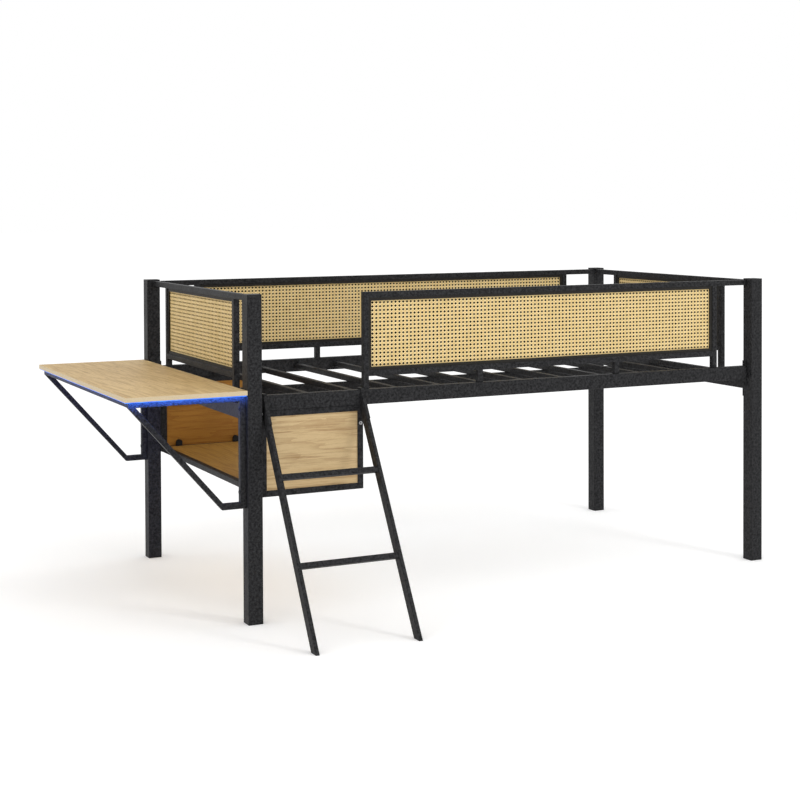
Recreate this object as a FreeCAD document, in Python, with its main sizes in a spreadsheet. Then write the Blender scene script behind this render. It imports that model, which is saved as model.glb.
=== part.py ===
"""Loft bed with a desk shelf, an under-bed cubby and a hook-on ladder.

Millimetres. +Z is up, +X runs along the bed away from the desk and +Y runs from the ladder side
to the back. The origin is on the floor, under the middle of the whole object's bounding box.
"""
import FreeCAD, Part
import Sketcher
import os
import re

os.makedirs("parts", exist_ok=True)
doc = FreeCAD.newDocument("loft_bed")

# ---------------------------------------------------------------- driving dimensions

SIZES = {
    # outer frame
    "frame_length": 2050,
    "frame_width": 1110,
    "frame_height": 1055,
    "post_size": 50,
    "post_wall": 2,
    "post_round": 3,
    "cap_thick": 3,
    "plug_depth": 14,
    # mattress deck
    "rail_thick": 25,
    "rail_tall": 50,
    "rail_wall": 1.5,
    "rail_round": 2.5,
    "side_rail_top": 728,
    "end_rail_top": 691,
    "lug_thick": 3,
    "lug_wide": 22,
    "lug_rise": 19,
    "lug_drop": 28,
    "tube": 20,
    "tube_wall": 1.2,
    "tube_round": 2,
    "beam_tall": 40,
    "slat_count": 12,
    "first_slat": 106.5,
    "slat_pitch": 167,
    # guards
    "guard_top": 1050,
    "guard_bottom": 770,
    "front_guard_start": 420,
    "front_guard_end": 1864,
    "front_stud_near": 862,
    "front_stud_far": 1421,
    "back_guard_start": 190,
    "back_guard_end": 1860,
    "back_stud_near": 699,
    "back_stud_far": 1351,
    "end_guard_start": 190,
    "end_guard_end": 920,
    "strip_wide": 10,
    "strip_deep": 12,
    "cane_thick": 3,
    # desk
    "desk_depth": 400,
    "desk_top": 750,
    "desk_thick": 15,
    "desk_round": 1,
    "bracket_reach": 385,
    "bracket_drop": 377,
    "bracket_foot": 80,
    "bracket_inset": 15,
    "brace_wide": 24,
    "led_wide": 10,
    "led_thick": 3.5,
    "led_inset": 2,
    # cubby under the deck
    "cubby_end": 417,
    "cubby_floor": 400,
    "cubby_inset": 28,
    "panel_thick": 12,
    "panel_inset": 4,
    "shelf_thick": 12,
    "connector_wide": 23,
    "connector_tall": 24,
    "connector_deep": 12,
    "connector_near": 121,
    "connector_far": 350,
    # ladder
    "ladder_start": 60,
    "stringer_wide": 13,
    "stringer_deep": 34,
    "ladder_width": 358,
    "ladder_reach": 401,
    "ladder_angle": 30.6,
    "ladder_gap": 0.3,
    "low_rung": 279,
    "high_rung": 569,
    "hook_wide": 11,
    "hook_thick": 5,
    "hook_low": 640,
    "hook_lip": 713,
    "rung": 18,
    "rung_inset": 4,
    # bolts
    "bolt_shank": 3,
    "bolt_head": 6,
    "bolt_head_tall": 2,
    "bolt_key": 2.2,
    "bolt_depth": 8,
    "bracket_bolt_high": 690,
    "bracket_bolt_low": 425,
    "cubby_bolt_high": 668,
    "cubby_bolt_low": 618,
    "lug_bolt_margin": 9,
}

dims = doc.addObject("Spreadsheet::Sheet", "dims")
for row, (alias, size) in enumerate(SIZES.items(), 1):
    dims.set(f"A{row}", alias)
    dims.set(f"B{row}", str(size))
    dims.setAlias(f"B{row}", alias)
doc.recompute()

X_AXIS = FreeCAD.Vector(1, 0, 0)
Y_AXIS = FreeCAD.Vector(0, 1, 0)
Z_AXIS = FreeCAD.Vector(0, 0, 1)

# The bed's faces, as expressions. The ladder's feet reach furthest towards -Y, the desk towards -X.
LEFT = "((desk_depth - frame_length) / 2)"
RIGHT = f"({LEFT} + frame_length)"
FRONT = "((ladder_reach - frame_width) / 2)"
BACK = f"({FRONT} + frame_width)"
DECK_TOP = "(end_rail_top + tube)"
BEAM_TOP = "end_rail_top"
DESK_UNDER = "(desk_top - desk_thick)"
CUBBY_START = "(post_size + lug_thick + bolt_head_tall)"
CUBBY_TOP = "(side_rail_top - rail_tall)"
PANE_LOW = "(guard_bottom + tube + strip_wide)"

nodes = []


# ---------------------------------------------------------------- shared helpers

def bound(expression):
    """Expression text with each dimension pointed at its cell in the sheet."""
    def in_sheet(word):
        return "dims." + word[0] if word[0] in SIZES else word[0]
    return re.sub(r"[a-z_]+", in_sheet, str(expression))


def bind(item, **formulas):
    """Ties properties to formulas; a double underscore stands for a dot in the property's path."""
    for path, formula in formulas.items():
        item.setExpression(path.replace("__", "."), bound(formula))


def along(start, offset):
    return f"{start} + ({offset})"


def inward(side, near, far):
    """Interval at two depths behind one of the bed's four outer faces, low end first."""
    if side in ("front", "left"):
        face = FRONT if side == "front" else LEFT
        return (f"{face} + ({near})", f"{face} + ({far})")
    face = BACK if side == "back" else RIGHT
    return (f"{face} - ({far})", f"{face} - ({near})")


def box(name, x, y, z):
    """Box between pairs of formulas."""
    item = doc.addObject("Part::Box", name)
    bind(item, Length=f"({x[1]}) - ({x[0]})", Width=f"({y[1]}) - ({y[0]})", Height=f"({z[1]}) - ({z[0]})")
    bind(item, Placement__Base__x=x[0], Placement__Base__y=y[0], Placement__Base__z=z[0])
    return item


def cylinder(name, centre, axis, radius, length):
    """Cylinder that starts at a point and runs along a unit vector."""
    item = doc.addObject("Part::Cylinder", name)
    item.Placement.Rotation = FreeCAD.Rotation(Z_AXIS, axis)
    bind(item, Radius=radius, Height=length)
    bind(item, Placement__Base__x=centre[0], Placement__Base__y=centre[1], Placement__Base__z=centre[2])
    return item


def fused(name, pieces):
    item = doc.addObject("Part::MultiFuse", name)
    item.Shapes = pieces
    item.Refine = True
    return item


def cut(name, base, tools):
    """Base with every tool taken away."""
    item = doc.addObject("Part::Cut", name)
    item.Base = base
    item.Tool = tools[0] if len(tools) == 1 else fused(name + "_tools", tools)
    return item


def common(name, base, tool):
    """What two shapes share."""
    item = doc.addObject("Part::Common", name)
    item.Base = base
    item.Tool = tool
    return item


def group(name, pieces):
    item = doc.addObject("Part::Compound", name)
    item.Links = pieces
    return item


def rounded(base, radius, chosen):
    """Base with one radius on every edge that the chosen test picks."""
    doc.recompute()
    size = float(dims.get(radius))
    item = doc.addObject("Part::Fillet", base.Name + "_rounded")
    item.Base = base
    item.Edges = [(number, size, size) for number, edge in enumerate(base.Shape.Edges, 1) if chosen(edge)]
    return item


def parallel_to(axis):
    return lambda edge: abs(edge.tangentAt(edge.FirstParameter).dot(axis)) > 0.999


def square_to(axis):
    return lambda edge: abs(edge.tangentAt(edge.FirstParameter).dot(axis)) < 0.001


def every_edge(edge):
    return True


def node(label, item):
    """Names a finished sub-part, which is exported under that name."""
    item.Label = label
    nodes.append(item)
    return item


def shrunk(interval, by):
    return (f"({interval[0]}) + {by}", f"({interval[1]}) - {by}")


def hollow_bar(name, x, y, z, run, wall="tube_wall", radius="tube_round"):
    """Straight tube along one axis, rounded outside and open at both ends."""
    axis = {"x": X_AXIS, "y": Y_AXIS, "z": Z_AXIS}[run]
    outside = rounded(box(name + "_outside", x, y, z), radius, parallel_to(axis))
    bore = {"x": x, "y": y, "z": z}
    for way in bore:
        if way != run:
            bore[way] = shrunk(bore[way], wall)
    return cut(name, outside, [box(name + "_bore", bore["x"], bore["y"], bore["z"])])


def welded(name, bars, flat_axis, extras=()):
    """Flat frame of welded tubes: bars maps a name to its (x, y, z) intervals."""
    outsides = [box(f"{name}_{bar}", *spans) for bar, spans in bars.items()]
    frame = rounded(fused(name + "_outside", outsides + list(extras)), "tube_round", square_to(flat_axis))
    bores = []
    for bar, spans in bars.items():
        inside = [shrunk(span, "tube_wall") for span in spans]
        bores.append(box(f"{name}_{bar}_bore", *inside))
    return cut(name, frame, bores)


def outline(name, plane, corners, depth, start):
    """Closed outline in one of the origin planes, padded along that plane's normal from a start."""
    body = doc.addObject("PartDesign::Body", name)
    sketch = body.newObject("Sketcher::SketchObject", name + "_outline")
    origin_plane = next(feature for feature in body.Origin.OriginFeatures if feature.Role == plane)
    sketch.AttachmentSupport = [(origin_plane, "")]
    sketch.MapMode = "FlatFace"
    count = len(corners)
    turn = 360 / count
    rough = [FreeCAD.Rotation(Z_AXIS, turn * index).multVec(X_AXIS * 100) for index in range(count)]
    for index in range(count):
        sketch.addGeometry(Part.LineSegment(rough[index], rough[(index + 1) % count]))
    for index in range(count):
        sketch.addConstraint(Sketcher.Constraint("Coincident", index, 2, (index + 1) % count, 1))
    for index, (across, up) in enumerate(corners):
        for way, formula, rough_size in (("DistanceX", across, rough[index].x), ("DistanceY", up, rough[index].y)):
            constraint = sketch.addConstraint(Sketcher.Constraint(way, -1, 1, index, 1, rough_size))
            sketch.setExpression(f"Constraints[{constraint}]", bound(formula))
    pad = body.newObject("PartDesign::Pad", name + "_pad")
    pad.Profile = sketch
    bind(pad, Length=depth)
    shift = {"YZ_Plane": "Placement__Base__x", "XZ_Plane": "Placement__Base__y"}[plane]
    bind(body, **{shift: start})
    return body


# ---------------------------------------------------------------- bolts and their holes

def bolt(name, head, axis):
    """Socket-head bolt: the head stands on a point and the shank runs on along the axis."""
    back = [f"({place}) - ({step}) * bolt_head_tall" for place, step in zip(head, axis)]
    solid = fused(name + "_solid", [
        cylinder(name + "_head", back, axis, "bolt_head", "bolt_head_tall"),
        cylinder(name + "_shank", head, axis, "bolt_shank", "bolt_depth"),
    ])
    key = cylinder(name + "_key", back, axis, "bolt_key", "bolt_head_tall / 2")
    return cut(name, solid, [key])


def bolt_hole(name, head, axis):
    return cylinder(name, head, axis, "bolt_shank", "bolt_depth")


def lug_bolt_heights(rail_top):
    return {"high": f"{rail_top} + lug_rise - lug_bolt_margin",
            "low": f"{rail_top} - rail_tall - lug_drop + lug_bolt_margin"}


LUG_MIDDLE = "(post_size - lug_wide / 2)"
bolt_places = {"rail": {}, "bracket": {}, "cubby": {}}

for side in ("front", "back"):
    across = inward(side, LUG_MIDDLE, LUG_MIDDLE)[0]
    for level, height in lug_bolt_heights("side_rail_top").items():
        bolt_places["rail"][f"{side}_left_side_{level}"] = (
            (along(LEFT, "post_size + lug_thick"), across, height), -X_AXIS)
        bolt_places["rail"][f"{side}_right_side_{level}"] = (
            (f"{RIGHT} - post_size - lug_thick", across, height), X_AXIS)
    bracket_middle = inward(side, "bracket_inset + tube / 2", "bracket_inset + tube / 2")[0]
    for level in ("high", "low"):
        bolt_places["bracket"][f"{side}_left_bracket_{level}"] = (
            (f"{LEFT} - tube", bracket_middle, f"bracket_bolt_{level}"), X_AXIS)

for side in ("left", "right"):
    across = inward(side, LUG_MIDDLE, LUG_MIDDLE)[0]
    for level, height in lug_bolt_heights("end_rail_top").items():
        bolt_places["rail"][f"front_{side}_end_{level}"] = (
            (across, along(FRONT, "post_size + lug_thick"), height), -Y_AXIS)
        bolt_places["rail"][f"back_{side}_end_{level}"] = (
            (across, f"{BACK} - post_size - lug_thick", height), Y_AXIS)

for side, axis in (("front", Y_AXIS), ("back", -Y_AXIS)):
    face = inward(side, "cubby_inset", "cubby_inset")[0]
    bolt_places["cubby"][f"{side}_low"] = (
        (along(LEFT, "cubby_end - tube / 2"), face, "cubby_bolt_low"), axis)
    bolt_places["cubby"][f"{side}_high"] = (
        (along(LEFT, f"{CUBBY_START} + tube / 2"), face, "cubby_bolt_high"), axis)


def drilled(name, base, places):
    """Base with a hole for each of these bolts' shanks."""
    holes = [bolt_hole(f"{name}_{place}_hole", head, axis) for place, (head, axis) in places.items()]
    return cut(name, base, holes)


def places_with(family, *words):
    """The bolts of a family whose names hold every one of these words."""
    return {place: spot for place, spot in bolt_places[family].items()
            if all(word in place.split("_") for word in words)}


# ---------------------------------------------------------------- posts, caps and feet

caps = []
feet = []
for end in ("left", "right"):
    for side in ("front", "back"):
        name = f"{side}_{end}_post"
        x = inward(end, "0", "post_size")
        y = inward(side, "0", "post_size")
        shaft = hollow_bar(name + "_shaft", x, y, ("cap_thick", "frame_height - cap_thick"), "z",
                           "post_wall", "post_round")
        places = dict(places_with("rail", side, end))
        places.update(places_with("bracket", side, end))
        node(name, drilled(name, shaft, places))
        bore_x = shrunk(x, "post_wall")
        bore_y = shrunk(y, "post_wall")
        for kind, plate, plug in (
                ("cap", ("frame_height - cap_thick", "frame_height"),
                 ("frame_height - plug_depth", "frame_height - cap_thick")),
                ("foot", ("0", "cap_thick"), ("cap_thick", "plug_depth"))):
            label = f"{side}_{end}_{kind}"
            top = rounded(box(label + "_plate", x, y, plate), "post_round", parallel_to(Z_AXIS))
            solid = fused(label, [top, box(label + "_plug", bore_x, bore_y, plug)])
            (caps if kind == "cap" else feet).append(solid)
node("post_caps", group("post_caps", caps))
node("post_feet", group("post_feet", feet))

# ---------------------------------------------------------------- rails, beam and slats

lugs = []


def lug(name, x, y, rail_top, places):
    """Plate welded across a rail's end, drilled for the two bolts that hold it to its post."""
    plate = box(name + "_plate", x, y, (f"{rail_top} - rail_tall - lug_drop", f"{rail_top} + lug_rise"))
    lugs.append(drilled(name, plate, places))


for side in ("front", "back"):
    name = f"{side}_side_rail"
    node(name, hollow_bar(
        name, (along(LEFT, "post_size + lug_thick"), f"{RIGHT} - post_size - lug_thick"),
        inward(side, "post_size - rail_thick", "post_size"), (CUBBY_TOP, "side_rail_top"),
        "x", "rail_wall", "rail_round"))
    for end in ("left", "right"):
        lug(f"{side}_{end}_side_lug", inward(end, "post_size", "post_size + lug_thick"),
            inward(side, "post_size - lug_wide", "post_size"), "side_rail_top",
            places_with("rail", side, end, "side"))

for end in ("left", "right"):
    name = f"{end}_end_rail"
    node(name, hollow_bar(
        name, inward(end, "post_size - rail_thick", "post_size"),
        (along(FRONT, "post_size + lug_thick"), f"{BACK} - post_size - lug_thick"),
        ("end_rail_top - rail_tall", "end_rail_top"), "y", "rail_wall", "rail_round"))
    for side in ("front", "back"):
        lug(f"{side}_{end}_end_lug", inward(end, "post_size - lug_wide", "post_size"),
            inward(side, "post_size", "post_size + lug_thick"), "end_rail_top",
            places_with("rail", side, end, "end"))
node("rail_lugs", group("rail_lugs", lugs))

node("centre_beam", hollow_bar(
    "centre_beam", (along(LEFT, "post_size"), f"{RIGHT} - post_size"),
    (along(FRONT, "frame_width / 2 - tube / 2"), along(FRONT, "frame_width / 2 + tube / 2")),
    (f"{BEAM_TOP} - beam_tall", BEAM_TOP), "x"))

for number in range(SIZES["slat_count"]):
    name = f"slat_{number + 1:02d}"
    middle = f"({LEFT} + first_slat + slat_pitch * {number})"
    node(name, hollow_bar(
        name, (f"{middle} - tube / 2", f"{middle} + tube / 2"),
        (along(FRONT, "post_size"), f"{BACK} - post_size"), (BEAM_TOP, DECK_TOP), "y"))

# ---------------------------------------------------------------- guards with cane panels


def guard(side, top_span, start, end, foot, studs):
    """Welded guard on one side: a top tube, two uprights, a bottom tube and short studs below."""
    lengthwise = side in ("front", "back")
    origin = LEFT if lengthwise else FRONT
    outer_face = "(post_size - tube)" if lengthwise else "(post_size - rail_thick)"
    depth = inward(side, outer_face, f"{outer_face} + tube")

    def spans(near, far, z):
        run = (along(origin, near), along(origin, far))
        return (run, depth, z) if lengthwise else (depth, run, z)

    top = ("guard_top - tube", "guard_top")
    bars = {
        "top": spans(*top_span, top),
        "first_upright": spans(start, f"{start} + tube", (foot, "guard_top")),
        "last_upright": spans(f"{end} - tube", end, (foot, "guard_top")),
        "bottom": spans(start, end, ("guard_bottom", "guard_bottom + tube")),
    }
    for stud in studs:
        bars[stud] = spans(f"{stud} - tube / 2", f"{stud} + tube / 2", (foot, "guard_bottom + tube"))
    flat_axis = Y_AXIS if lengthwise else X_AXIS
    node(f"{side}_guard_frame", welded(f"{side}_guard_frame", bars, flat_axis))

    middle = f"{outer_face} + tube / 2"
    strip_depth = inward(side, f"{middle} - strip_deep / 2", f"{middle} + strip_deep / 2")
    cane_depth = inward(side, f"{middle} - cane_thick / 2", f"{middle} + cane_thick / 2")
    window = (f"{start} + tube", f"{end} - tube")
    pane = (f"{start} + tube + strip_wide", f"{end} - tube - strip_wide")
    window_z = ("guard_bottom + tube", "guard_top - tube")
    pane_z = (PANE_LOW, "guard_top - tube - strip_wide")

    def slab(name, run, thick, z):
        run = (along(origin, run[0]), along(origin, run[1]))
        return box(name, *((run, thick, z) if lengthwise else (thick, run, z)))

    strip = f"{side}_cane_strip"
    node(strip, cut(strip, slab(strip + "_outside", window, strip_depth, window_z),
                    [slab(strip + "_window", pane, strip_depth, pane_z)]))
    cane = f"{side}_cane_panel"
    node(cane, slab(cane, pane, cane_depth, pane_z))


SIDE_RUN = f"{RIGHT} - {LEFT} - post_size"
guard("front", ("front_guard_start", SIDE_RUN), "front_guard_start", "front_guard_end",
      "side_rail_top", ("front_stud_near", "front_stud_far"))
guard("back", ("post_size", SIDE_RUN), "back_guard_start", "back_guard_end",
      "side_rail_top", ("back_stud_near", "back_stud_far"))
for side in ("left", "right"):
    guard(side, ("post_size", "frame_width - post_size"), "end_guard_start", "end_guard_end", "end_rail_top", ())

# ---------------------------------------------------------------- desk

DESK_X = (f"{LEFT} - desk_depth", LEFT)
node("desktop", rounded(box("desktop_board", DESK_X, (FRONT, BACK), (DESK_UNDER, "desk_top")),
                        "desk_round", every_edge))

for side in ("front", "back"):
    name = f"{side}_desk_bracket"
    y = inward(side, "bracket_inset", "bracket_inset + tube")
    low = "(desk_top - bracket_drop)"
    bars = {
        "upright": ((f"{LEFT} - tube", LEFT), y, (low, DESK_UNDER)),
        "arm": ((f"{LEFT} - bracket_reach", LEFT), y, (f"{DESK_UNDER} - tube", DESK_UNDER)),
        "sill": ((f"{LEFT} - bracket_foot", LEFT), y, (low, f"{low} + tube")),
    }
    brace = outline(name + "_brace", "XZ_Plane", [
        (f"{LEFT} - bracket_reach", f"{DESK_UNDER} - tube"),
        (f"{LEFT} - bracket_reach + brace_wide", f"{DESK_UNDER} - tube"),
        (f"{LEFT} - bracket_foot", f"{low} + brace_wide"),
        (f"{LEFT} - bracket_foot", low),
    ], "tube", y[1])
    bracket = welded(name + "_weldment", bars, Y_AXIS, [brace])
    node(name, drilled(name, bracket, places_with("bracket", side)))

node("desk_cross_tube", hollow_bar(
    "desk_cross_tube", (f"{LEFT} - bracket_reach", f"{LEFT} - bracket_reach + tube"),
    (along(FRONT, "bracket_inset + tube"), f"{BACK} - bracket_inset - tube"),
    (f"{DESK_UNDER} - tube", DESK_UNDER), "y"))

LED_Z = (f"{DESK_UNDER} - led_thick", DESK_UNDER)
LED_OUTER_X = (f"{LEFT} - desk_depth + led_inset", f"{LEFT} - desk_depth + led_inset + led_wide")
node("front_led_strip", box("front_led_strip", (LED_OUTER_X[0], f"{LEFT} - led_inset"),
                            inward("front", "led_inset", "led_inset + led_wide"), LED_Z))
node("outer_led_strip", box("outer_led_strip", LED_OUTER_X,
                            (along(FRONT, "led_inset + led_wide"), f"{BACK} - led_inset"), LED_Z))

# ---------------------------------------------------------------- cubby

CUBBY_X = (along(LEFT, CUBBY_START), along(LEFT, "cubby_end"))
CUBBY_INSIDE_X = shrunk(CUBBY_X, "tube")
CUBBY_Z = ("cubby_floor", CUBBY_TOP)
SHELF_TOP = "(cubby_floor + tube - 1)"
CUBBY_Y = (along(FRONT, "cubby_inset + tube"), f"{BACK} - cubby_inset - tube")

for side in ("front", "back"):
    name = f"{side}_cubby_frame"
    y = inward(side, "cubby_inset", "cubby_inset + tube")
    bars = {
        "near_upright": ((CUBBY_X[0], f"{CUBBY_X[0]} + tube"), y, CUBBY_Z),
        "far_upright": ((f"{CUBBY_X[1]} - tube", CUBBY_X[1]), y, CUBBY_Z),
        "top": (CUBBY_X, y, (f"{CUBBY_TOP} - tube", CUBBY_TOP)),
        "bottom": (CUBBY_X, y, ("cubby_floor", "cubby_floor + tube")),
    }
    frame = welded(name + "_weldment", bars, Y_AXIS)
    node(name, drilled(name, frame, places_with("cubby", side)))
    node(f"{side}_cubby_panel", box(
        f"{side}_cubby_panel", CUBBY_INSIDE_X,
        inward(side, "cubby_inset + panel_inset", "cubby_inset + panel_inset + panel_thick"),
        ("cubby_floor + tube", f"{CUBBY_TOP} - tube")))

for name, x in (("left_cubby_rail", (CUBBY_X[0], f"{CUBBY_X[0]} + tube")),
                ("right_cubby_rail", (f"{CUBBY_X[1]} - tube", CUBBY_X[1]))):
    node(name, hollow_bar(name, x, CUBBY_Y, ("cubby_floor", "cubby_floor + tube"), "y"))

node("cubby_shelf", box("cubby_shelf", CUBBY_INSIDE_X, CUBBY_Y, (f"{SHELF_TOP} - shelf_thick", SHELF_TOP)))

connectors = []
for side in ("front", "back"):
    y = inward(side, "cubby_inset + panel_inset + panel_thick",
               "cubby_inset + panel_inset + panel_thick + connector_deep")
    for place in ("connector_near", "connector_far"):
        name = f"{side}_{place}"
        x = (along(LEFT, f"{place} - connector_wide / 2"), along(LEFT, f"{place} + connector_wide / 2"))
        shoulder = f"({SHELF_TOP} + 1 + connector_tall - connector_wide / 2)"
        block = box(name + "_block", x, y, (f"{SHELF_TOP} + 1", shoulder))
        arch = cylinder(name + "_arch", (along(LEFT, place), y[0], shoulder), Y_AXIS,
                        "connector_wide / 2", "connector_deep")
        connectors.append(fused(name, [block, arch]))
node("cubby_connectors", group("cubby_connectors", connectors))

# ---------------------------------------------------------------- ladder

TILT = "ladder_angle * 1deg"
LEAN = FreeCAD.Rotation(-X_AXIS, SIZES["ladder_angle"])
RAIL_FACE = f"({FRONT} + post_size - rail_thick - ladder_gap)"


def tilted(name, x, depth, run):
    """Box that leans with the ladder: depth is measured behind its front face, run up its length."""
    item = doc.addObject("Part::Box", name)
    item.Placement.Rotation = LEAN
    bind(item, Length=f"({x[1]}) - ({x[0]})", Width=f"({depth[1]}) - ({depth[0]})",
         Height=f"({run[1]}) - ({run[0]})")
    bind(item, Placement__Rotation__Angle=TILT, Placement__Base__x=x[0],
         Placement__Base__y=f"{FRONT} - ladder_reach + ({run[0]}) * sin({TILT}) + ({depth[0]}) * cos({TILT})",
         Placement__Base__z=f"({run[0]}) * cos({TILT}) - ({depth[0]}) * sin({TILT})")
    return item


def front_line(height, outward="0"):
    """Y of the ladder's front face at a height, or of a line a given distance outward of it."""
    return f"({FRONT} - ladder_reach + ({height}) * tan({TILT}) - ({outward}) / cos({TILT}))"


shoes = []
STRINGER_DEPTH = ("0", "stringer_deep")
STRINGER_RUN = ("0 - stringer_deep", "frame_height")
for side, offset in (("left", "0"), ("right", "ladder_width - stringer_wide")):
    x = (f"{LEFT} + ladder_start + {offset}", f"{LEFT} + ladder_start + {offset} + stringer_wide")
    inside = (shrunk(x, "tube_wall"), shrunk(STRINGER_DEPTH, "tube_wall"), STRINGER_RUN)

    name = f"{side}_ladder_stringer"
    bar = rounded(tilted(name + "_outside", x, STRINGER_DEPTH, STRINGER_RUN), "tube_round",
                  parallel_to(LEAN.multVec(Z_AXIS)))
    tube = cut(name + "_tube", bar, [tilted(name + "_bore", *inside)])
    reach = box(name + "_reach", x, (f"{FRONT} - ladder_reach * 2", RAIL_FACE), ("cap_thick", "frame_height"))
    node(name, common(name, tube, reach))

    middle = f"({x[0]} + stringer_wide / 2)"
    hook = outline(f"{side}_ladder_hook", "YZ_Plane", [
        (front_line("hook_low"), "hook_low"),
        (front_line("hook_low", "hook_thick"), "hook_low"),
        (f"{RAIL_FACE} - hook_thick",
         f"({RAIL_FACE} - hook_thick - {front_line('0', 'hook_thick')}) / tan({TILT})"),
        (f"{RAIL_FACE} - hook_thick", "side_rail_top + ladder_gap + hook_thick"),
        (f"{FRONT} + post_size + ladder_gap + hook_thick", "side_rail_top + ladder_gap + hook_thick"),
        (f"{FRONT} + post_size + ladder_gap + hook_thick", "hook_lip"),
        (f"{FRONT} + post_size + ladder_gap", "hook_lip"),
        (f"{FRONT} + post_size + ladder_gap", "side_rail_top + ladder_gap"),
        (RAIL_FACE, "side_rail_top + ladder_gap"),
        (RAIL_FACE, f"({RAIL_FACE} - {front_line('0')}) / tan({TILT})"),
    ], "hook_wide", f"{middle} - hook_wide / 2")
    node(f"{side}_ladder_hook", hook)

    name = f"{side}_ladder_shoe"
    foot_y = (f"{FRONT} - ladder_reach - stringer_deep", f"{FRONT} - ladder_reach + stringer_deep * 3")
    sole = common(name + "_sole", rounded(
        tilted(name + "_outside", x, STRINGER_DEPTH, STRINGER_RUN), "tube_round",
        parallel_to(LEAN.multVec(Z_AXIS))), box(name + "_sole_room", x, foot_y, ("0", "cap_thick")))
    plug = common(name + "_plug", tilted(name + "_bore", *inside),
                  box(name + "_plug_room", x, foot_y, ("cap_thick", "plug_depth")))
    shoes.append(fused(name, [sole, plug]))
node("ladder_shoes", group("ladder_shoes", shoes))

RUNG_X = (f"{LEFT} + ladder_start + stringer_wide", f"{LEFT} + ladder_start + ladder_width - stringer_wide")
RUNG_DEPTH = ("rung_inset", "rung_inset + rung")
for name, place in (("lower_rung", "low_rung"), ("upper_rung", "high_rung")):
    run = (f"{place} - rung / 2", f"{place} + rung / 2")
    bar = rounded(tilted(name + "_outside", RUNG_X, RUNG_DEPTH, run), "tube_round", parallel_to(X_AXIS))
    bore = tilted(name + "_bore", RUNG_X, shrunk(RUNG_DEPTH, "tube_wall"), shrunk(run, "tube_wall"))
    node(name, cut(name, bar, [bore]))

# ---------------------------------------------------------------- bolts

for family, places in bolt_places.items():
    name = f"{family}_bolts"
    node(name, group(name, [bolt(f"{family}_{place}_bolt", head, axis) for place, (head, axis) in places.items()]))

# ---------------------------------------------------------------- checks and export

doc.recompute()
for item in doc.Objects:
    if {"Invalid", "Error"} & set(item.State):
        raise RuntimeError(f"{item.Name} did not build: {item.State}")
for item in nodes:
    shape = item.Shape
    if shape.isNull() or not shape.isValid() or not shape.Solids:
        raise RuntimeError(f"{item.Label} has no valid solid")
    shape.exportStep(f"parts/{item.Label}.step")
print(f"{len(nodes)} nodes exported")
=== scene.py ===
"""Looks of the loft bed: woven cane, oak boards, powder-coated steel and the lit LED strips.

Metres, in the row frame: +Z up, +X along the bed away from the desk, +Y towards the back.
"""
import math
import random

import bmesh
import bpy
import numpy as np
from mathutils import Matrix, Vector


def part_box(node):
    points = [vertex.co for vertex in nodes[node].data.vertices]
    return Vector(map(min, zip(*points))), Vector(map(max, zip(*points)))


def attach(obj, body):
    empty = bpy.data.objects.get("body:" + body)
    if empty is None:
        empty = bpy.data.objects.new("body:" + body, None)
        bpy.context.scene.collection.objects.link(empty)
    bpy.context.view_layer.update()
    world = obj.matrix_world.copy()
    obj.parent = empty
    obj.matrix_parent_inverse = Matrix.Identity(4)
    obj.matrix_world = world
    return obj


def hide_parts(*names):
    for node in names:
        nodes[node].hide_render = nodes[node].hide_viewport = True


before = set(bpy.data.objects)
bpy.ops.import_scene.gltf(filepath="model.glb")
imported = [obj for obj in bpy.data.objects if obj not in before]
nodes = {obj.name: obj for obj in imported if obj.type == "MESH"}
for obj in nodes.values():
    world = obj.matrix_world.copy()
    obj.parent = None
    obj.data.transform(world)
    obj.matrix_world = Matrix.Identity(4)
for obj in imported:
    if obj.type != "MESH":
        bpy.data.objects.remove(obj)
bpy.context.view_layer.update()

scene = bpy.context.scene
MM = 0.001

# ---------------------------------------------------------------- shader helpers


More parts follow.
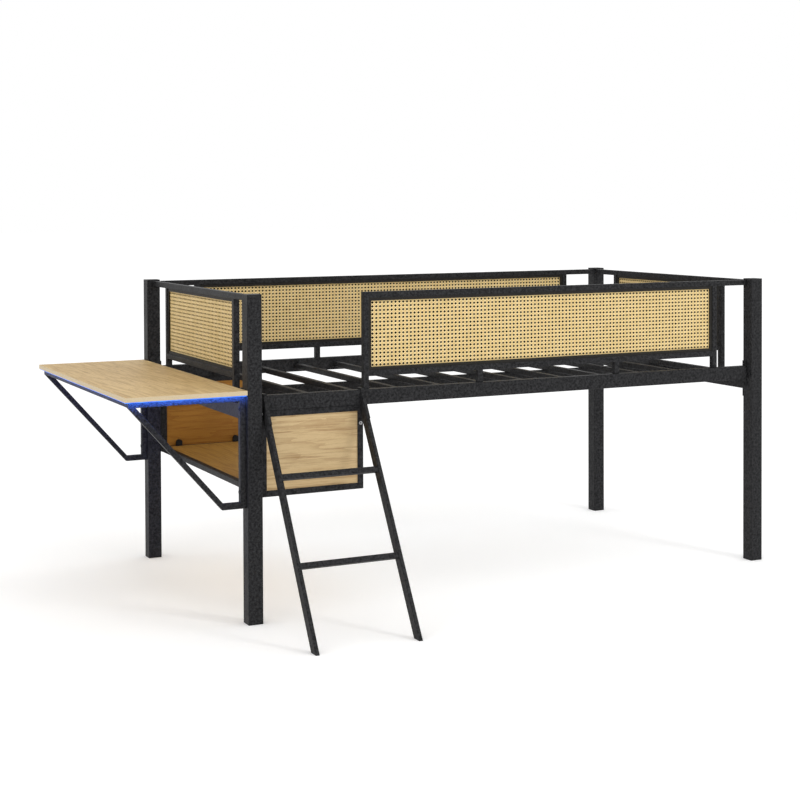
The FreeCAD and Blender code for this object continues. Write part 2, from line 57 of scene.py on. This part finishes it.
class Shader:
    """One node material, with short calls for the nodes that the materials here share."""

    def __init__(self, name):
        self.material = bpy.data.materials.new(name)
        self.material.use_nodes = True
        self.tree = self.material.node_tree
        self.surface = self.tree.nodes["Principled BSDF"]
        self.place = self.add("ShaderNodeTexCoord").outputs["Object"]

    def add(self, kind, **settings):
        item = self.tree.nodes.new(kind)
        for key, setting in settings.items():
            setattr(item, key, setting)
        return item

    def link(self, start, end):
        self.tree.links.new(start, end)

    def stretched(self, scale):
        """Object coordinates with each axis scaled, which draws a pattern out along the smallest."""
        mapping = self.add("ShaderNodeMapping")
        mapping.inputs["Scale"].default_value = scale
        self.link(self.place, mapping.inputs["Vector"])
        return mapping.outputs["Vector"]

    def noise(self, where, scale, detail=3.0, roughness=0.55, distortion=0.0):
        item = self.add("ShaderNodeTexNoise")
        item.inputs["Scale"].default_value = scale
        item.inputs["Detail"].default_value = detail
        item.inputs["Roughness"].default_value = roughness
        item.inputs["Distortion"].default_value = distortion
        self.link(where, item.inputs["Vector"])
        return item.outputs["Fac"]

    def ramp(self, value, stops):
        item = self.add("ShaderNodeValToRGB")
        elements = item.color_ramp.elements
        while len(elements) < len(stops):
            elements.new(0.5)
        for element, (position, colour) in zip(elements, stops):
            element.position = position
            element.color = (*colour, 1)
        self.link(value, item.inputs["Fac"])
        return item.outputs["Color"]

    def spread(self, value, low, high, to_low=0.0, to_high=1.0):
        """The value's range from low to high drawn out to another range."""
        item = self.add("ShaderNodeMapRange")
        for key, number in (("From Min", low), ("From Max", high), ("To Min", to_low), ("To Max", to_high)):
            item.inputs[key].default_value = number
        self.link(value, item.inputs["Value"])
        return item.outputs["Result"]

    def mix(self, share, first, second, blend="MIX"):
        """Colour mix; first and second are sockets or plain colours, share a socket or a number."""
        item = self.add("ShaderNodeMix", data_type="RGBA", blend_type=blend)
        for key, source in ((0, share), (6, first), (7, second)):
            if isinstance(source, bpy.types.NodeSocket):
                self.link(source, item.inputs[key])
            elif key == 0:
                item.inputs[key].default_value = source
            else:
                item.inputs[key].default_value = (*source, 1)
        return item.outputs[2]

    def over(self, base, mask, strength, colour):
        """A colour laid over the base where the mask says, at most this strongly."""
        return self.mix(self.maths("MULTIPLY", mask, strength), base, colour)

    def maths(self, operation, first, second=0.0):
        item = self.add("ShaderNodeMath", operation=operation)
        for key, source in enumerate((first, second)):
            if isinstance(source, bpy.types.NodeSocket):
                self.link(source, item.inputs[key])
            else:
                item.inputs[key].default_value = source
        return item.outputs[0]

    def facing(self, axis):
        """How squarely the surface faces along one of the object's axes, from -1 to 1."""
        parts = self.add("ShaderNodeSeparateXYZ")
        self.link(self.add("ShaderNodeTexCoord").outputs["Normal"], parts.inputs[0])
        return parts.outputs[axis]

    def bump(self, height, distance, strength=1.0, edge_radius=0.0):
        """Surface relief; with an edge radius, sharp edges also catch light as if rounded."""
        item = self.add("ShaderNodeBump")
        item.inputs["Distance"].default_value = distance
        item.inputs["Strength"].default_value = strength
        self.link(height, item.inputs["Height"])
        if edge_radius:
            rounded = self.add("ShaderNodeBevel", samples=6)
            rounded.inputs["Radius"].default_value = edge_radius
            self.link(rounded.outputs["Normal"], item.inputs["Normal"])
        self.link(item.outputs["Normal"], self.surface.inputs["Normal"])

    def colour(self, source):
        self.link(source, self.surface.inputs["Base Color"])

    def roughness(self, value, low, high):
        """Roughness from low to high over the middle range of a noise."""
        self.link(self.spread(value, 0.3, 0.7, low, high), self.surface.inputs["Roughness"])

    def set(self, **values):
        """Numbers set on the shader's own sockets, a space in a socket's name written as _."""
        for key, number in values.items():
            self.surface.inputs[key.replace("_", " ")].default_value = number


# ---------------------------------------------------------------- materials


EDGE_RADIUS = 1.6 * MM
POWDER_DARK = (0.0060, 0.0060, 0.0066)
POWDER_PALE = (0.0350, 0.0350, 0.0368)
POWDER_SPECK = (0.06, 0.06, 0.062)


def powder_coat():
    """Black fine-textured powder coat: pebbled, with faint cloudiness and dust-pale specks."""
    item = Shader("powder_coat")
    pebble = item.noise(item.place, 900, detail=2, roughness=0.6)
    mottle = item.noise(item.place, 130, detail=4, roughness=0.7)
    cloud = item.noise(item.place, 14, detail=4)
    specks = item.spread(item.noise(item.place, 2600, detail=1), 0.60, 0.72)
    base = item.ramp(mottle, [(0.36, POWDER_DARK), (0.64, POWDER_PALE)])
    item.colour(item.over(base, specks, 0.3, POWDER_SPECK))
    item.roughness(cloud, 0.38, 0.50)
    item.bump(pebble, 0.00012, 0.35, edge_radius=EDGE_RADIUS)
    item.set(Specular_IOR_Level=0.07)
    return item.material


def moulded_plastic():
    """Black moulded plastic with a fine spark-eroded grain."""
    item = Shader("moulded_plastic")
    grain = item.noise(item.place, 1500, detail=2)
    cloud = item.noise(item.place, 40, detail=3)
    item.colour(item.ramp(cloud, [(0.3, (0.008, 0.008, 0.009)), (0.7, (0.014, 0.014, 0.015))]))
    item.roughness(cloud, 0.45, 0.58)
    item.bump(grain, 0.00008, 0.4)
    item.set(Specular_IOR_Level=0.25)
    return item.material


def retaining_strip():
    """Matt dark strip, a little cloudy, with a warm cast next to the cane."""
    item = Shader("retaining_strip")
    grain = item.noise(item.place, 1200, detail=2)
    cloud = item.noise(item.place, 60, detail=3)
    item.colour(item.ramp(cloud, [(0.3, (0.010, 0.009, 0.007)), (0.7, (0.018, 0.016, 0.013))]))
    item.roughness(cloud, 0.5, 0.64)
    item.bump(grain, 0.0001, 0.4)
    item.set(Specular_IOR_Level=0.2)
    return item.material


GRAIN_RATIO = 22
FIGURE_STRETCH = 0.62
OAK_DARK = (0.335, 0.205, 0.090)
OAK_MIDDLE = (0.500, 0.350, 0.172)
OAK_LIGHT = (0.610, 0.455, 0.250)
OAK_LINE = (0.270, 0.155, 0.060)
EDGE_BAND = [(0.35, (0.52, 0.42, 0.27)), (0.65, (0.62, 0.51, 0.34))]
FACE_ON = (0.35, 0.6)


def shaded(colour, tint):
    return tuple(part * share for part, share in zip(colour, tint))


def growth_rings(item, where):
    """Wavering bands of the board's growth rings."""
    rings = item.add("ShaderNodeTexWave", wave_type="BANDS", bands_direction="DIAGONAL", wave_profile="SAW")
    rings.inputs["Scale"].default_value = 11
    rings.inputs["Distortion"].default_value = 11
    rings.inputs["Detail"].default_value = 4
    rings.inputs["Detail Scale"].default_value = 1.6
    item.link(where, rings.inputs["Vector"])
    return rings.outputs["Fac"]


def oak(name, grain, pale_edges=False, tint=(1, 1, 1), inner=None):
    """Light oak board, its grain along one axis: fibres, broad figure, growth rings and pores.

    inner is the axis and sign of the face that looks into the cubby, with the tint of painted shade that
    darkens that face.
    """
    item = Shader(name)
    shares = {"x": (1 / GRAIN_RATIO, 1, 1), "y": (1, 1 / GRAIN_RATIO, 1)}[grain]
    lengthwise = item.stretched(shares)
    longer = item.stretched(tuple(share ** FIGURE_STRETCH for share in shares))
    fibre = item.noise(lengthwise, 420, detail=5, roughness=0.65)
    streak = item.noise(lengthwise, 120, detail=4, roughness=0.7, distortion=0.4)
    figure = item.noise(longer, 7, detail=3, distortion=1.0)
    rings = growth_rings(item, longer)
    pores = item.noise(lengthwise, 1500, detail=2, roughness=0.7)

    dark, middle, light, line = (shaded(colour, tint) for colour in (OAK_DARK, OAK_MIDDLE, OAK_LIGHT, OAK_LINE))
    base = item.ramp(figure, [(0.25, middle), (0.75, light)])
    base = item.over(base, item.spread(streak, 0.48, 0.66), 0.95, dark)
    base = item.over(base, item.spread(fibre, 0.42, 0.66), 0.60, light)
    base = item.over(base, item.spread(rings, 0.6, 1.0), 0.45, dark)
    base = item.over(base, item.spread(pores, 0.58, 0.72), 0.45, line)
    if pale_edges:
        flat = item.spread(item.maths("ABSOLUTE", item.facing("Z")), *FACE_ON)
        base = item.mix(flat, item.ramp(fibre, EDGE_BAND), base)
    # Painted shade: the face that looks into the cubby is multiplied by a darker, warmer tint standing in for
    # the shade inside it.
    if inner:
        axis, sign, painted_shade_tint = inner
        inside = item.spread(item.maths("MULTIPLY", item.facing(axis), sign), *FACE_ON)
        base = item.mix(inside, base, painted_shade_tint, blend="MULTIPLY")
    item.colour(base)
    item.roughness(fibre, 0.46, 0.60)
    item.bump(fibre, 0.0002, 0.35)
    item.set(Specular_IOR_Level=0.2)
    return item.material


CANE_TONES = [(0.0, (0.64, 0.465, 0.185)), (0.5, (0.77, 0.58, 0.265)), (1.0, (0.90, 0.73, 0.41))]
CANE_PATCH = (0.60, 0.445, 0.19)
CANE_NICK = (0.36, 0.23, 0.09)


def cane(name):
    """Dry cane strands: each strand has its own tone, with fibres and small dark nicks."""
    item = Shader(name)
    tone = item.add("ShaderNodeAttribute", attribute_name="tone").outputs["Fac"]
    patch = item.noise(item.place, 35, detail=3)
    nicks = item.noise(item.place, 700, detail=2)
    strand = item.over(item.ramp(tone, CANE_TONES), item.spread(patch, 0.45, 0.7), 0.35, CANE_PATCH)
    item.colour(item.over(strand, item.spread(nicks, 0.64, 0.74), 0.4, CANE_NICK))
    item.roughness(patch, 0.45, 0.60)
    item.bump(item.noise(item.place, 1800, detail=2), 0.0001, 0.4)
    item.set(Specular_IOR_Level=0.25)
    return item.material


def cane_backing():
    """Dark felt-like sheet behind the holes of the webbing."""
    item = Shader("cane_backing")
    weave = item.noise(item.place, 900, detail=3)
    item.colour(item.ramp(weave, [(0.3, (0.0035, 0.0020, 0.0005)), (0.7, (0.009, 0.0055, 0.0012))]))
    item.roughness(weave, 0.8, 0.95)
    item.bump(weave, 0.0002, 0.5)
    item.set(Specular_IOR_Level=0.05)
    return item.material


def lit_diffuser(name, strength):
    """Blue diffuser, brighter over each chip along the strip."""
    item = Shader(name)
    chips = item.add("ShaderNodeTexVoronoi", feature="F1")
    chips.inputs["Scale"].default_value = 60
    item.link(item.place, chips.inputs["Vector"])
    glow = item.ramp(chips.outputs["Distance"], [(0.1, (0.08, 0.30, 1.0)), (0.8, (0.03, 0.16, 0.90))])
    item.link(glow, item.surface.inputs["Emission Color"])
    item.colour(glow)
    item.set(Emission_Strength=strength, Roughness=0.35)
    return item.material


def plated_steel():
    """Bright plated steel with fine brushing."""
    item = Shader("plated_steel")
    brushed = item.noise(item.stretched((1, 1, 30)), 300, detail=2)
    item.colour(item.ramp(brushed, [(0.3, (0.42, 0.42, 0.43)), (0.7, (0.62, 0.62, 0.63))]))
    item.roughness(brushed, 0.28, 0.4)
    item.set(Metallic=1.0)
    return item.material


def pale_floor():
    """Plain near-white floor, lit a little from within so that it meets the white studio unseen."""
    item = Shader("pale_floor")
    cloud = item.noise(item.place, 2, detail=2)
    item.colour(item.ramp(cloud, [(0.3, (0.93, 0.93, 0.93)), (0.7, (0.95, 0.95, 0.95))]))
    item.set(Roughness=0.9, Specular_IOR_Level=0.0, Emission_Strength=0.16)
    item.surface.inputs["Emission Color"].default_value = (1, 1, 1, 1)
    return item.material


MATERIALS = {
    "powder": powder_coat(),
    "plastic": moulded_plastic(),
    "strip": retaining_strip(),
    "oak_desk": oak("oak_desk", "y", pale_edges=True, tint=(1.10, 1.07, 0.93)),
    # The shelf's top face and the back panel's inner face carry painted shade; the back panel is a shaded copy
    # of the panel oak.
    "oak_shelf": oak("oak_shelf", "y", inner=("Z", 1, (0.80, 0.60, 0.27))),
    "oak_panel": oak("oak_panel", "x"),
    "oak_back_panel": oak("oak_back_panel", "x", inner=("Y", -1, (0.64, 0.395, 0.115))),
    "cane": cane("cane"),
    "backing": cane_backing(),
    "front_led": lit_diffuser("front_diffuser", 0.42),
    "outer_led": lit_diffuser("outer_diffuser", 0.40),
    "steel": plated_steel(),
    "floor": pale_floor(),
}

# ---------------------------------------------------------------- CAD nodes: materials


def node_material(name):
    if name == "desktop":
        return "oak_desk"
    if name == "cubby_shelf":
        return "oak_shelf"
    if name.endswith("cubby_panel"):
        return "oak_back_panel" if name.startswith("back") else "oak_panel"
    if name.endswith("cane_strip"):
        return "strip"
    if name in ("post_caps", "post_feet", "ladder_shoes", "cubby_connectors"):
        return "plastic"
    return "powder"


for name, item in nodes.items():
    item.data.materials.clear()
    item.data.materials.append(MATERIALS[node_material(name)])

# ---------------------------------------------------------------- new pieces


def made(name, shape, *materials):
    """Object of the scene made from a finished bmesh."""
    mesh = bpy.data.meshes.new(name)
    shape.to_mesh(mesh)
    shape.free()
    item = bpy.data.objects.new(name, mesh)
    scene.collection.objects.link(item)
    for material in materials:
        mesh.materials.append(material)
    return item


# ---------------------------------------------------------------- woven cane panels

HOLE_PITCH = 14.3 * MM
ROW_PITCH = 12.8 * MM
PAIR_OFFSET = 1.25 * MM
STRAIGHT_WIDE = 2.1 * MM
DIAGONAL_WIDE = 2.3 * MM
STRAND_THICK = 1.0 * MM
LAYER = 0.3 * MM
BACKING_THICK = 0.12 * MM
STRAIGHT_TONES = (0.0, 0.35)
DIAGONAL_TONES = (0.65, 1.0)


class Weave:
    """Octagonal cane webbing in a plane: pairs both ways and two sets of diagonals."""

    def __init__(self, wide, tall, seed):
        self.columns = round(wide / HOLE_PITCH)
        self.rows = round(tall / ROW_PITCH)
        self.step_u = wide / self.columns
        self.step_v = tall / self.rows
        self.random = random.Random(seed)
        self.points = []
        self.faces = []
        self.tones = []

    def strand(self, path, wide, tones):
        """Flat strand along a path of (u, v, depth), closed at both ends, its tone drawn from a range."""
        path = np.array(path)
        run = path[-1] - path[0]
        side = np.array([-run[1], run[0], 0.0])
        side *= wide / 2 / np.linalg.norm(side)
        lift = np.array([0, 0, STRAND_THICK / 2])
        corners = np.stack(
            [path - side - lift, path + side - lift, path + side + lift, path - side + lift], axis=1)
        base = sum(len(block) for block in self.points)
        self.points.append(corners.reshape(-1, 3))
        self.tones.append(np.full(len(path) * 4, self.random.uniform(*tones)))
        for index in range(len(path) - 1):
            at = base + index * 4
            for corner in range(4):
                following = (corner + 1) % 4
                self.faces.append((at + corner, at + following, at + 4 + following, at + 4 + corner))
        last = base + (len(path) - 1) * 4
        self.faces.append((base + 3, base + 2, base + 1, base))
        self.faces.append((last, last + 1, last + 2, last + 3))

    def straight_pairs(self):
        """Uprights dip under the diagonals between rows; crosswise strands rise over them."""
        for column in range(self.columns + 1):
            for offset in self.inside(column, self.columns):
                u = column * self.step_u + offset
                self.strand([(u, half * self.step_v / 2, LAYER / 2 if half % 2 == 0 else -LAYER)
                             for half in range(self.rows * 2 + 1)], STRAIGHT_WIDE, STRAIGHT_TONES)
        for row in range(self.rows + 1):
            for offset in self.inside(row, self.rows):
                v = row * self.step_v + offset
                self.strand([(half * self.step_u / 2, v, -LAYER / 2 if half % 2 == 0 else LAYER)
                             for half in range(self.columns * 2 + 1)], STRAIGHT_WIDE, STRAIGHT_TONES)

    @staticmethod
    def inside(index, last):
        """Offsets of a pair's strands, leaving out the one that would fall outside the panel."""
        if index == 0:
            return (PAIR_OFFSET,)
        return (-PAIR_OFFSET,) if index == last else (-PAIR_OFFSET, PAIR_OFFSET)

    def diagonals(self):
        """Both sets pass midway between the crossings of the pairs, so the holes stay open."""
        for rising in (True, False):
            for start in range(-self.rows, self.columns):
                path = []
                for half in range(self.rows * 2 + 1):
                    u_half = 2 * start + 1 + half
                    if 0 <= u_half <= self.columns * 2:
                        level = half if rising else self.rows * 2 - half
                        on_upright = u_half % 2 == 0
                        depth = (0.0 if on_upright else -LAYER) + (0.0 if rising else LAYER)
                        path.append((u_half * self.step_u / 2, level * self.step_v / 2, depth))
                if len(path) > 1:
                    self.strand(path, DIAGONAL_WIDE, DIAGONAL_TONES)

    def piece(self, name, low, high, lengthwise):
        """Mesh object in the row frame, clipped to the panel's own box."""
        points = np.concatenate(self.points)
        points[:, 0] = points[:, 0].clip(0, self.columns * self.step_u)
        points[:, 1] = points[:, 1].clip(0, self.rows * self.step_v)
        middle = (low + high) / 2
        placed = np.empty_like(points)
        run, depth = (0, 1) if lengthwise else (1, 0)
        placed[:, run] = points[:, 0] + low[run]
        placed[:, depth] = points[:, 2] + middle[depth]
        placed[:, 2] = points[:, 1] + low[2]
        mesh = bpy.data.meshes.new(name)
        mesh.from_pydata(placed.tolist(), [], self.faces)
        shape = bmesh.new()
        shape.from_mesh(mesh)
        bmesh.ops.recalc_face_normals(shape, faces=shape.faces)
        shape.to_mesh(mesh)
        shape.free()
        tone = mesh.attributes.new("tone", "FLOAT", "POINT")
        tone.data.foreach_set("value", np.concatenate(self.tones))
        item = bpy.data.objects.new(name, mesh)
        scene.collection.objects.link(item)
        item.data.materials.append(MATERIALS["cane"])
        return item


def slab(name, low, high, material, bevel):
    """Bevelled board between two corners."""
    shape = bmesh.new()
    bmesh.ops.create_cube(shape, size=1)
    bmesh.ops.scale(shape, vec=high - low, verts=shape.verts)
    bmesh.ops.translate(shape, vec=(low + high) / 2, verts=shape.verts)
    bmesh.ops.bevel(shape, geom=shape.edges[:], offset=bevel, segments=2, affect="EDGES")
    return made(name, shape, material)


for seed, side in enumerate(("front", "back", "left", "right")):
    node = f"{side}_cane_panel"
    low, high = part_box(node)
    lengthwise = side in ("front", "back")
    run = 0 if lengthwise else 1
    weave = Weave(high[run] - low[run], high[2] - low[2], seed)
    weave.straight_pairs()
    weave.diagonals()
    webbing = weave.piece(f"{side}_cane_webbing", low, high, lengthwise)
    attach(webbing, "bed")
    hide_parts(node)
    depth = 1 if lengthwise else 0
    thin_low, thin_high = low.copy(), high.copy()
    thin_low[depth] = (low[depth] + high[depth] - BACKING_THICK) / 2
    thin_high[depth] = (low[depth] + high[depth] + BACKING_THICK) / 2
    backing = slab(f"{side}_cane_backing", thin_low, thin_high, MATERIALS["backing"], BACKING_THICK / 4)
    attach(backing, "bed")

# ---------------------------------------------------------------- LED strips


BACK_SHARE = 0.35
LENS_SHARE = 0.65
LENS_STEPS = 10


def diffuser(side, lengthwise):
    """Strip light: a flat back against the desk and a shallow rounded lens hanging below it."""
    node = f"{side}_led_strip"
    low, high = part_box(node)
    across = 1 if lengthwise else 0
    run = 1 - across
    half = (high[across] - low[across]) / 2
    tall = high[2] - low[2]
    profile = [(-half, 0.0), (-half, -tall * BACK_SHARE)]
    for step in range(1, LENS_STEPS):
        angle = math.pi * step / LENS_STEPS
        profile.append((-half * math.cos(angle), -tall * (BACK_SHARE + LENS_SHARE * math.sin(angle))))
    profile += [(half, -tall * BACK_SHARE), (half, 0.0)]
    middle = (low[across] + high[across]) / 2
    shape = bmesh.new()
    rings = []
    for end in (low[run], high[run]):
        ring = []
        for offset, drop in profile:
            spot = Vector((0, 0, high[2] + drop))
            spot[run] = end
            spot[across] = middle + offset
            ring.append(shape.verts.new(spot))
        rings.append(ring)
    count = len(profile)
    for index in range(count):
        following = (index + 1) % count
        shape.faces.new((rings[0][index], rings[0][following], rings[1][following], rings[1][index]))
    shape.faces.new(rings[0])
    shape.faces.new(rings[1])
    bmesh.ops.recalc_face_normals(shape, faces=shape.faces)
    item = made(f"{side}_led_diffuser", shape, MATERIALS[f"{side}_led"])
    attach(item, "bed")
    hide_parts(node)


diffuser("front", True)
diffuser("outer", False)

# ---------------------------------------------------------------- bolts of the cubby

BOLT_RADIUS = 6 * MM
BOLT_TALL = 2 * MM
SOCKET_RADIUS = 2.6 * MM
TURNS = 32
HEAD_PROFILE = ((1.0, 0.0), (1.0, 0.35), (0.93, 0.75), (0.78, 0.95), (0.6, 1.0))
SOCKET_HEIGHTS = (0.92, 0.15)
SIXTH = math.pi / 3


def bolt_head(shape, centre, outward):
    """Button head standing on a face: domed ring with a hexagonal socket, the socket coloured black as painted
    shade.
    """
    turns = [math.tau * step / TURNS for step in range(TURNS)]
    rings = [[(math.cos(turn) * radius * BOLT_RADIUS, math.sin(turn) * radius * BOLT_RADIUS, height * BOLT_TALL)
              for turn in turns] for radius, height in HEAD_PROFILE]
    for height in SOCKET_HEIGHTS:
        socket = []
        for turn in turns:
            corner = (turn + SIXTH / 2) % SIXTH - SIXTH / 2
            reach = SOCKET_RADIUS * math.cos(SIXTH / 2) / math.cos(corner)
            socket.append((math.cos(turn) * reach, math.sin(turn) * reach, height * BOLT_TALL))
        rings.append(socket)
    placed = [[shape.verts.new((centre.x + x, centre.y + outward * z, centre.z + y)) for x, y, z in ring]
              for ring in rings]
    shape.faces.new(placed[0])
    for lower, upper in zip(placed, placed[1:]):
        for step in range(TURNS):
            following = (step + 1) % TURNS
            face = shape.faces.new((lower[step], lower[following], upper[following], upper[step]))
            # Socket walls and floor take the black second material: painted shade in the recess.
            face.material_index = 1 if upper is placed[-1] else 0
    shape.faces.new(placed[-1]).material_index = 1


shape = bmesh.new()
low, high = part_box("cubby_bolts")
for face, outward in ((low.y + BOLT_TALL, -1), (high.y - BOLT_TALL, 1)):
    bolt_head(shape, Vector((high.x - BOLT_RADIUS, face, low.z + BOLT_RADIUS)), outward)
    bolt_head(shape, Vector((low.x + BOLT_RADIUS, face, high.z - BOLT_RADIUS)), outward)
bmesh.ops.recalc_face_normals(shape, faces=shape.faces)
# Steel heads; the black plastic in their sockets is painted shade.
bolt_heads = made("cubby_bolt_heads", shape, MATERIALS["steel"], MATERIALS["plastic"])
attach(bolt_heads, "bed")
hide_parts("cubby_bolts")

# ---------------------------------------------------------------- floor, light and camera

FLOOR_REACH = 60
floor_mesh = bpy.data.meshes.new("floor")
floor_corners = [(FLOOR_REACH * x, FLOOR_REACH * y, 0) for x, y in ((-1, -1), (1, -1), (1, 1), (-1, 1))]
floor_mesh.from_pydata(floor_corners, [], [(0, 1, 2, 3)])
floor = bpy.data.objects.new("floor", floor_mesh)
scene.collection.objects.link(floor)
floor.data.materials.append(MATERIALS["floor"])

world = bpy.data.worlds.new("studio")
world.use_nodes = True
world.node_tree.nodes["Background"].inputs["Color"].default_value = (1, 1, 1, 1)
world.node_tree.nodes["Background"].inputs["Strength"].default_value = 1.0
scene.world = world


def soft_light(name, spot, target, size, power):
    """Round studio lamp aimed at a target."""
    data = bpy.data.lights.new(name, "AREA")
    data.shape = "DISK"
    data.size = size
    data.energy = power
    item = bpy.data.objects.new(name, data)
    item.location = spot
    item.rotation_euler = (Vector(target) - Vector(spot)).to_track_quat("-Z", "Y").to_euler()
    scene.collection.objects.link(item)


soft_light("key", (2.6, -4.6, 3.6), (0, 0, 0.6), size=1.2, power=60)
soft_light("fill", (-4.5, -2.5, 2.6), (-0.3, 0, 0.6), size=3.0, power=9)

LIT_ENDINGS = ("desk_bracket", "left_post", "bracket_bolts", "cross_tube", "left_end_rail")
GLOW_COLOUR = (0.03, 0.16, 1.0)
WASH_COLOUR = (0.02, 0.10, 1.0)
GLOW_TALL = 6 * MM
GLOW_DROP = 4 * MM
WASH_DROP = 1 * MM

lit_metal = bpy.data.collections.new("lit_metal")
for name in nodes:
    if name.endswith(LIT_ENDINGS):
        lit_metal.objects.link(nodes[name])


def aimed(right, up, forward, spot):
    """Pose of a lamp or a camera, which looks along its own -Z."""
    return Matrix((
        (right.x, up.x, -forward.x, spot.x),
        (right.y, up.y, -forward.y, spot.y),
        (right.z, up.z, -forward.z, spot.z),
        (0, 0, 0, 1)))


def blue_lamp(name, wide, tall, power, colour):
    """Rectangular lamp that lights only the metal round the desk."""
    data = bpy.data.lights.new(name, "AREA")
    data.shape = "RECTANGLE"
    data.size = wide
    data.size_y = tall
    data.energy = power
    data.color = colour
    lamp = bpy.data.objects.new(name, data)
    lamp.light_linking.receiver_collection = lit_metal
    scene.collection.objects.link(lamp)
    return lamp


def strip_glow(node, lengthwise, way, power):
    """Spill of one LED strip onto the metalwork behind it, from a narrow lamp just below the desk's edge."""
    low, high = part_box(node)
    run = 0 if lengthwise else 1
    lamp = blue_lamp(node + "_glow", high[run] - low[run], GLOW_TALL, power, GLOW_COLOUR)
    spot = (low + high) / 2
    spot[1 - run] = low[1 - run]
    spot.z = low.z - GLOW_DROP
    forward = Vector(way).normalized()
    across = Vector((1, 0, 0)) if lengthwise else Vector((0, 1, 0))
    lamp.matrix_world = aimed(across, (-forward).cross(across), forward, spot)


def under_desk_wash(power):
    """Blue light that the strips throw down the posts, brackets and end rail below the desk."""
    low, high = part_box("desktop")
    lamp = blue_lamp("under_desk_wash", high.x - low.x, high.y - low.y, power, WASH_COLOUR)
    lamp.location = ((low.x + high.x) / 2, (low.y + high.y) / 2, low.z - WASH_DROP)


strip_glow("front_led_strip", True, (0, 1, -0.35), power=0.62)
strip_glow("outer_led_strip", False, (1, 0, -0.3), power=0.22)
under_desk_wash(power=3)

# Camera solved for this viewing angle: yaw is from +X towards +Y, and the view is nearly level.
YAW, PITCH, ROLL = math.radians(64.005), math.radians(-1.203), math.radians(-0.208)
LENS = 71.055
SHIFT_X, SHIFT_Y = 0.00875, -0.2096
EYE_FROM_POST = Vector((-1.7744, -4.6950, 1.3532))

forward = Vector((math.cos(YAW) * math.cos(PITCH), math.sin(YAW) * math.cos(PITCH), math.sin(PITCH)))
level = Vector((math.sin(YAW), -math.cos(YAW), 0))
upright = level.cross(forward)
right = math.cos(ROLL) * level + math.sin(ROLL) * upright
up = math.cos(ROLL) * upright - math.sin(ROLL) * level
camera_data = bpy.data.cameras.new("camera")
camera_data.sensor_width = 36
camera_data.lens = LENS
camera_data.shift_x = SHIFT_X
camera_data.shift_y = SHIFT_Y
camera_data.clip_end = 200
camera = bpy.data.objects.new("camera", camera_data)
camera.matrix_world = aimed(right, up, forward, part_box("front_left_post")[0] + EYE_FROM_POST)
scene.collection.objects.link(camera)
scene.camera = camera
scene.view_settings.view_transform = "Standard"
